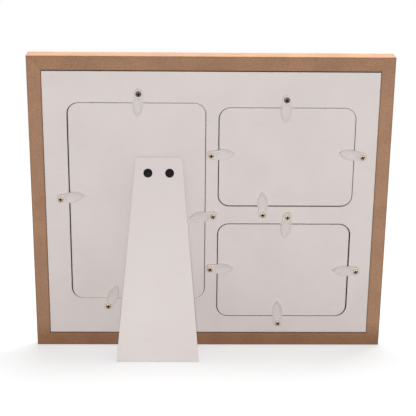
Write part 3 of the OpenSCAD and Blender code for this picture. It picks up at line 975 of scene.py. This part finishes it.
class MakeLeg(bpy.types.Operator):
    """Cut the painted easel leg"""

    bl_idname = "picture_frame.leg"
    bl_label = "Make the leg"

    def execute(self, context):
        sizes = context.scene.board_sizes
        low, high = extent("leg", LEG)
        corner = sizes.leg_corner
        head = (sizes.leg_head_width / 2 - corner, high.z - corner)
        outline = [
            Vector((low.x, low.z)),
            Vector((high.x, low.z)),
            *arc(head, corner, 0, 90, sizes.corner_steps),
            *arc((-head[0], head[1]), corner, 90, 180, sizes.corner_steps),
        ]
        rings = board_rings(low.y, high.y, sizes.leg_radius, sizes)
        painted = [ring._replace(worn=ring.worn * sizes.leg_wear, raw=0.0) for ring in rings]
        show_shape(board_shape([(outline, painted)]), LEG, "leg_board", "painted_board", "leg", "leg")
        return {"FINISHED"}


class MakeMat(bpy.types.Operator):
    """Cut the mat with its bevelled windows, and finish the blank inserts and the pane"""

    bl_idname = "picture_frame.mat"
    bl_label = "Make the mat"

    def execute(self, context):
        cover = context.scene.board_sizes.mat_cover
        low, high = extent("mat", UPRIGHT)
        edges = [(rectangle(low.xz, high.xz), mat_rings(low.y, high.y, 0))]
        for door in DOORS:
            window = rectangle(*inner_corners(*extent(f"insert_{door}", UPRIGHT), 4 * [cover]))
            edges.append((as_opening(window), mat_rings(low.y, high.y, high.y - low.y)))
        show_shape(board_shape(edges), UPRIGHT, "mat_card", "mat_card", "frame", "mat")
        finish_nodes("insert_paper", *[f"insert_{door}" for door in DOORS])
        finish_nodes("pane", "glass")
        return {"FINISHED"}


# Turn buttons


def leaf_arc(reach, width, middle, tip_radius):
    """Radius of the arcs at the sides of a leaf with a round tip, and how far across they are centred."""
    half = width / 2 - tip_radius
    length_left = reach - tip_radius - middle
    shift = (length_left ** 2 - half ** 2) / (2 * half)
    return shift + width / 2, shift


def leaf_side(radius, shift, middle, tip_radius, steps):
    """Right side of a leaf, upwards from below its widest place to its tip on the middle line."""
    to_tip = radius - tip_radius
    turn = math.acos(shift / to_tip)
    side = arc((-shift, middle), radius, -math.degrees(turn), math.degrees(turn), 2 * steps)
    tip = arc((0, middle + to_tip * math.sin(turn)), tip_radius, math.degrees(turn), 90, steps // 3)
    return side + tip[1:]


def mirrored(right):
    """Closed outline from its right side, which runs upwards from the middle line and ends on it."""
    return right + [Vector((-point.x, point.y)) for point in right[-2:0:-1]]


def button_outline(reach, width, boss, sizes):
    """Outline of a button: a round boss, a short neck and a leaf."""
    middle = reach * sizes.middle_share
    radius, shift = leaf_arc(reach, width, middle, sizes.tip_radius)
    neck_height = reach * sizes.neck_end_share
    neck_end = Vector((math.sqrt(radius ** 2 - (neck_height - middle) ** 2) - shift, neck_height))
    neck_start = boss * sizes.neck_share
    neck_slope = (neck_end.x - neck_start) / neck_height
    round_end = [
        point for point in arc((0, 0), boss, -90, 90, 2 * sizes.side_steps)
        if point.y < 0 or point.x > neck_start + neck_slope * point.y
    ]
    side = leaf_side(radius, shift, middle, sizes.tip_radius, sizes.side_steps)
    leaf = [point for point in side if point.y > neck_height]
    return mirrored(round_end + [neck_end] + leaf)


def hollow_outline(reach, width, sizes):
    """Outline of the hollow: the leaf inside its rim, less the flat around the screw."""
    middle = reach * sizes.middle_share
    radius, shift = leaf_arc(reach, width, middle, sizes.tip_radius)
    clear = sizes.boss_clear
    side = leaf_side(radius - sizes.rim_width, shift, middle, sizes.hollow_tip, sizes.side_steps)
    leaf = [point for point in side if point.length > clear]
    start = math.degrees(math.atan2(leaf[0].y, leaf[0].x))
    bite = arc((0, 0), clear, 90, start, sizes.side_steps)
    return mirrored(bite[:-1] + leaf)


def hollow_rings(back, sizes):
    """Rings from a button's face, over the rim's inner edge, to the hollow's floor."""
    floor = back - sizes.hollow_depth
    soft = sizes.hollow_radius
    turns = quarter_turns(HOLLOW_STEPS)
    edge = [(soft * (1 - math.sin(turn)), soft * (1 - math.cos(turn))) for turn in turns]
    inner_edge = [Ring(-across, back - down, worn=1.0) for across, down in edge]
    foot = [Ring(sizes.hollow_slope + down, floor + across * HOLLOW_FOOT) for across, down in edge]
    return inner_edge + foot


def button_shape(reach, width, boss, front, back, sizes):
    """Moulded turn button, drawn about its screw with its leaf pointing up."""
    shape = new_shape()
    hole = arc((0, 0), sizes.screw_hole, 0, 360 * (1 - 1 / HOLE_STEPS), HOLE_STEPS - 1)
    bevel = [Ring(FRONT_BEVEL, front), Ring(0, front + FRONT_BEVEL)]
    outer_first, outer_last = add_rings(
        shape, button_outline(reach, width, boss, sizes), bevel + rounded_edge(sizes.rim_radius, back, 1)
    )
    hole_first, hole_last = add_rings(shape, as_opening(hole), [Ring(0, front), Ring(0, back)])
    hollow_first, hollow_last = add_rings(
        shape, hollow_outline(reach, width, sizes), hollow_rings(back, sizes)
    )
    add_cap(shape, outer_first, hole_first)
    add_cap(shape, outer_last, hole_last, hollow_first)
    add_cap(shape, hollow_last)
    return shape


class MakeButtons(bpy.types.Operator):
    """Mould the twelve turn buttons, each on its own body"""

    bl_idname = "picture_frame.buttons"
    bl_label = "Make the turn buttons"

    def execute(self, context):
        sizes = context.scene.button_sizes
        for node in [f"button_{door}_{side}" for door in DOORS for side in SIDES]:
            place = button_place(node)
            low, high = extent(node, place)
            shape = button_shape(high.z, high.x - low.x, -low.z, low.y, high.y, sizes)
            show_shape(shape, place, f"{node}_moulded", "button_plastic", node, node)
        return {"FINISHED"}


# Screws and rivets


SCREW_INPUTS = {
    "Head diameter": "screw_head", "Head height": "screw_height", "Thread diameter": "screw_thread",
    "Length": "screw_length", "Recess length": "recess_length", "Recess width": "recess_width",
    "Recess depth": "recess_depth",
}


def screw_tree():
    """Tree that puts a round-headed screw with a cross recess on each point."""
    inputs = {**dict.fromkeys(SCREW_INPUTS, "Float"), "Seed": "Int", "Finish": "Material"}
    screw = Grower("Cross-recess screws", inputs)
    given = screw.given
    head = screw.domed_head(given["Head diameter"], given["Head height"], fullness=0.42, segments=40)
    slots = []
    for turn in (0, 90):
        top = screw.times(given["Recess length"], CUTTER_TOP * SQUARE_CORNER)
        bottom = screw.calculate("DIVIDE", top, CUTTER_TAPER)
        deep = screw.times(given["Recess depth"], CUTTER_HEIGHT)
        cone = {"Vertices": 4, "Radius Top": top, "Radius Bottom": bottom, "Depth": deep}
        square = screw.moved(screw.out("GeometryNodeMeshCone", cone), turn=(0, 0, math.radians(45)))
        thin = screw.calculate("DIVIDE", given["Recess width"], given["Recess length"])
        slot = screw.moved(square, scale=screw.vector(X=1.0, Y=thin, Z=1.0))
        floor = screw.calculate("SUBTRACT", given["Head height"], given["Recess depth"])
        slots.append(screw.moved(slot, floor, (0, 0, math.radians(turn))))
    mark = {"Geometry": screw.joined(*slots), "Name": "recess", "Value": 1.0}
    cutter = screw.out("GeometryNodeStoreNamedAttribute", mark, data_type="FLOAT", domain="FACE")
    meshes = {"Mesh 1": head, "Mesh 2": cutter, "Self Intersection": True}
    cut = screw.out("GeometryNodeMeshBoolean", meshes, operation="DIFFERENCE", solver="EXACT")
    merged = screw.out("GeometryNodeMergeByDistance", {"Geometry": cut, "Distance": MERGE_STEP})
    thread = screw.round_bar(given["Thread diameter"], given["Length"], top=0.0, segments=20)
    screw.set_on_points(screw.joined(merged, thread))
    return screw.tree


def rivet_tree():
    """Tree that puts a domed rivet with a flat tail on each point."""
    rivet = Grower("Domed rivets", {
        "Head diameter": "Float", "Head height": "Float", "Shank diameter": "Float", "Grip": "Float",
        "Tail diameter": "Float", "Tail height": "Float", "Seed": "Int", "Finish": "Material",
    })
    given = rivet.given
    head = rivet.domed_head(given["Head diameter"], given["Head height"], fullness=0.55, segments=48)
    shank = rivet.round_bar(given["Shank diameter"], given["Grip"], top=0.0, segments=24)
    tail_top = rivet.times(given["Grip"], -1.0)
    tail = rivet.round_bar(given["Tail diameter"], given["Tail height"], tail_top, segments=32)
    rivet.set_on_points(rivet.joined(head, shank, tail))
    return rivet.tree


class MakeScrews(bpy.types.Operator):
    """Set the brass screws that the turn buttons turn on"""

    bl_idname = "picture_frame.screws"
    bl_label = "Make the screws"

    def execute(self, context):
        sizes = context.scene.fastener_sizes
        values = {label: getattr(sizes, size) for label, size in SCREW_INPUTS.items()}
        tree = screw_tree()
        for number, door in enumerate(DOORS):
            node = f"screws_{door}"
            head_floor = extent(node, UPRIGHT)[1].y - sizes.screw_height
            pivots = [Vector(joints[f"button_{door}_{side}"]["pos_m"]) for side in SIDES]
            pivots = [UPRIGHT.inverted() @ pivot for pivot in pivots]
            places = [(pivot.x, head_floor, pivot.z) for pivot in pivots]
            ages = [sizes.old_age if f"{door}_{side}" in OLD_SCREWS else sizes.young_age for side in SIDES]
            seats = start_mesh("seats", places, [], age=ages)
            values["Seed"] = sizes.seed + number
            show_grown(seats, tree, values, UPRIGHT, f"{node}_brass", "screw_brass", "frame", node)
        return {"FINISHED"}


class MakeRivets(bpy.types.Operator):
    """Set the black rivets of the leg and the rivets that hold the hinge plate"""

    bl_idname = "picture_frame.rivets"
    bl_label = "Make the rivets"

    def execute(self, context):
        sizes = context.scene.fastener_sizes
        tree = rivet_tree()
        height = extent("hinge_strap", LEG)[0].z + sizes.rivet_edge
        rivets = {
            "leg_rivets": (LEG, "leg", sizes.rivet_head, sizes.rivet_height),
            "plate_rivets": (PIN, "frame", sizes.flat_head, sizes.flat_height),
        }
        for node, (place, body, head, head_height) in rivets.items():
            low, high = extent(node, place)
            floor = high.y - head_height
            places = [(side * sizes.rivet_spacing / 2, floor, height) for side in (-1, 1)]
            values = {
                "Head diameter": head,
                "Head height": head_height,
                "Shank diameter": sizes.rivet_shank,
                "Grip": floor - low.y - sizes.flat_height,
                "Tail diameter": sizes.flat_head,
                "Tail height": sizes.flat_height,
                "Seed": sizes.seed,
            }
            seats = start_mesh("seats", places, [], age=(0, 0))
            show_grown(seats, tree, values, place, f"{node}_black", "rivet_black", body, node)
        return {"FINISHED"}


# Hinge


def rolled_path(leaf_out, leaf_end, roll_radius, side, steps=18):
    """Middle line of a hinge leaf: up along what carries it, then rolled round the pin."""
    turns = [math.radians(ROLL_ANGLE * step / steps) for step in range(steps + 1)]
    roll = [(-side * roll_radius * math.cos(turn), roll_radius * math.sin(turn)) for turn in turns]
    return [(-side * leaf_out, leaf_end), (-side * leaf_out, -BEND_START * roll_radius), *roll]


def pressed_leaf(path, columns, rolled, notch):
    """Sheet with flat faces up to the notch, whose rolled columns alone go on round the pin."""
    shape = new_shape()
    flat_end = (path[0][0], -notch)
    path = [path[0], flat_end, *path[1:]]
    grid = [[shape.verts.new((x, out, up)) for out, up in path] for x in columns]
    for column in range(len(columns) - 1):
        last = len(path) - 1 if column in rolled else 1
        for step in range(last):
            left, right = grid[column], grid[column + 1]
            shape.faces.new((left[step], right[step], right[step + 1], left[step + 1]))
    loose = [vert for vert in shape.verts if not vert.link_faces]
    bmesh.ops.delete(shape, geom=loose, context="VERTS")
    return shape


class MakeHinge(bpy.types.Operator):
    """Press the two hinge leaves and finish the pin and the corner wedges"""

    bl_idname = "picture_frame.hinge"
    bl_label = "Make the hinge"

    def execute(self, context):
        sizes = context.scene.hinge_sizes
        low, high = extent("hinge_plate", PIN)
        half = high.x
        middle = half / 3
        roll_radius = (sizes.knuckle - sizes.sheet) / 2
        leaf_out = -low.y - sizes.sheet / 2
        leaves = {
            "hinge_plate": (PIN, "frame", 1, (0, 2), middle + sizes.end_gap),
            "hinge_strap": (LEG, "leg", -1, (1,), middle),
        }
        for node, (place, body, side, rolled, split) in leaves.items():
            path = rolled_path(leaf_out, low.z, roll_radius, side)
            shape = pressed_leaf(path, (-half, -split, split, half), rolled, sizes.notch)
            piece = show_shape(shape, place, f"{node}_pressed", "hinge_steel", body, node)
            sheet = piece.modifiers.new("Sheet", "SOLIDIFY")
            sheet.thickness = sizes.sheet
            sheet.offset = 0
            sheet.use_even_offset = True
            edges = piece.modifiers.new("Edges", "BEVEL")
            edges.width = sizes.bevel
            edges.segments = 2
        finish_nodes("hinge_steel", "hinge_pin")
        finish_nodes("wedge_steel", "corner_wedges")
        return {"FINISHED"}


# Finishes and stage


class MakeFinishes(bpy.types.Operator):
    """Make the material of every slot"""

    bl_idname = "picture_frame.finishes"
    bl_label = "Make the finishes"

    def execute(self, context):
        colours = context.scene.finish_colours
        for material in list(bpy.data.materials):
            bpy.data.materials.remove(material)
        make_fibreboard(colours)
        make_paint(colours)
        make_plastic(colours)
        make_brass(colours)
        make_steel("hinge_steel", colours, crystal=1.1, dullness=0.3)
        make_steel("wedge_steel", colours, crystal=0.4, dullness=0.4)
        make_enamel(colours)
        make_glass(colours)
        make_mat(colours)
        make_paper(colours)
        return {"FINISHED"}


def seen_directly(nodes):
    """1 for what the camera, a mirror or glass sees, and 0 for what lights the frame."""
    rays = nodes.add("ShaderNodeLightPath").outputs
    seen = nodes.calculate("MAXIMUM", rays["Is Camera Ray"], rays["Is Glossy Ray"])
    return nodes.calculate("MAXIMUM", seen, rays["Is Transmission Ray"])


def make_floor(settings):
    """Pale floor, lifted towards white where it is seen."""
    half = settings.floor_size / 2
    mesh = bpy.data.meshes.new("floor")
    corners = [(x, y, -SHORT_STEP) for x, y in rectangle((-half, -half), (half, half))]
    mesh.from_pydata(corners, [], [(0, 1, 2, 3)])
    floor = Finish("floor")
    cloudy = floor.tinted(settings.floor, floor.grain(400), 0.98, 1.0)
    matt = floor.out("ShaderNodeBsdfDiffuse", {"Color": cloudy})
    away = floor.out("ShaderNodeVectorMath", {0: floor.place}, "Value", operation="LENGTH")
    glow = floor.spread(away, settings.glow_start, settings.glow_end, settings.floor_glow, 1.0)
    lift = floor.out("ShaderNodeEmission", {"Strength": floor.times(seen_directly(floor), glow)})
    lifted = floor.out("ShaderNodeAddShader", {0: matt, 1: lift})
    floor.add("ShaderNodeOutputMaterial", {"Surface": lifted})
    set_finish(mesh, "floor")
    new_object("floor", mesh)


def make_sky(settings):
    """Plain light from all round, white where it is seen."""
    world = bpy.data.worlds.new("studio")
    world.use_nodes = True
    world.node_tree.nodes.clear()
    sky = Nodes(world.node_tree)
    strength = sky.spread(seen_directly(sky), 0.0, 1.0, settings.sky, 1.0)
    white = sky.out("ShaderNodeBackground", {"Color": (1, 1, 1, 1), "Strength": strength})
    sky.add("ShaderNodeOutputWorld", {"Surface": white})
    bpy.context.scene.world = world


def make_lamp(name, place, side, lamp_power, aim):
    """Soft square lamp that points at the frame."""
    lamp = bpy.data.lights.new(name, "AREA")
    lamp.energy = lamp_power
    lamp.size = side
    holder = new_object(name, lamp)
    holder.location = place
    holder.rotation_euler = (Vector(aim) - Vector(place)).to_track_quat("-Z", "Y").to_euler()


def make_camera(settings):
    """Camera at the photograph's angle."""
    camera = bpy.data.cameras.new("camera")
    camera.lens = settings.lens
    camera.clip_start = 10 * MM
    holder = new_object("camera", camera)
    holder.location = settings.camera_place
    holder.rotation_euler = settings.camera_turn
    bpy.context.scene.camera = holder


class MakeStage(bpy.types.Operator):
    """Set up the floor, the light and the camera"""

    bl_idname = "picture_frame.stage"
    bl_label = "Make the stage"

    def execute(self, context):
        settings = context.scene.stage_settings
        make_floor(settings)
        make_sky(settings)
        aim = settings.lamp_aim
        make_lamp("high_lamp", settings.high_lamp, settings.high_size, settings.high_power, aim)
        make_lamp("low_lamp", settings.low_lamp, settings.low_size, settings.low_power, aim)
        make_camera(settings)
        context.scene.view_settings.view_transform = "Standard"
        return {"FINISHED"}


OPERATORS = (
    MakeFinishes, MakeRails, MakeBackPanel, MakeDoors, MakeLeg, MakeMat,
    MakeButtons, MakeScrews, MakeRivets, MakeHinge, MakeStage,
)


class PictureFramePanel(bpy.types.Panel):
    """Lists the steps that build the picture frame"""

    bl_idname = "VIEW3D_PT_picture_frame"
    bl_label = "Picture Frame"
    bl_space_type = "VIEW_3D"
    bl_region_type = "UI"
    bl_category = "Picture Frame"

    def draw(self, context):
        for operator in OPERATORS:
            self.layout.operator(operator.bl_idname)


def register():
    """Registers the settings, the operators and the panel."""
    for name, group in SETTINGS.items():
        bpy.utils.register_class(group)
        setattr(bpy.types.Scene, name, PointerProperty(type=group))
    for made in (*OPERATORS, PictureFramePanel):
        bpy.utils.register_class(made)


def unregister():
    """Takes back what register did."""
    for made in (PictureFramePanel, *reversed(OPERATORS)):
        bpy.utils.unregister_class(made)
    for name, group in SETTINGS.items():
        delattr(bpy.types.Scene, name)
        bpy.utils.unregister_class(group)


def main():
    """Builds every piece in order."""
    register()
    for operator in OPERATORS:
        group, step = operator.bl_idname.split(".")
        getattr(getattr(bpy.ops, group), step)()


if __name__ == "__main__":
    main()
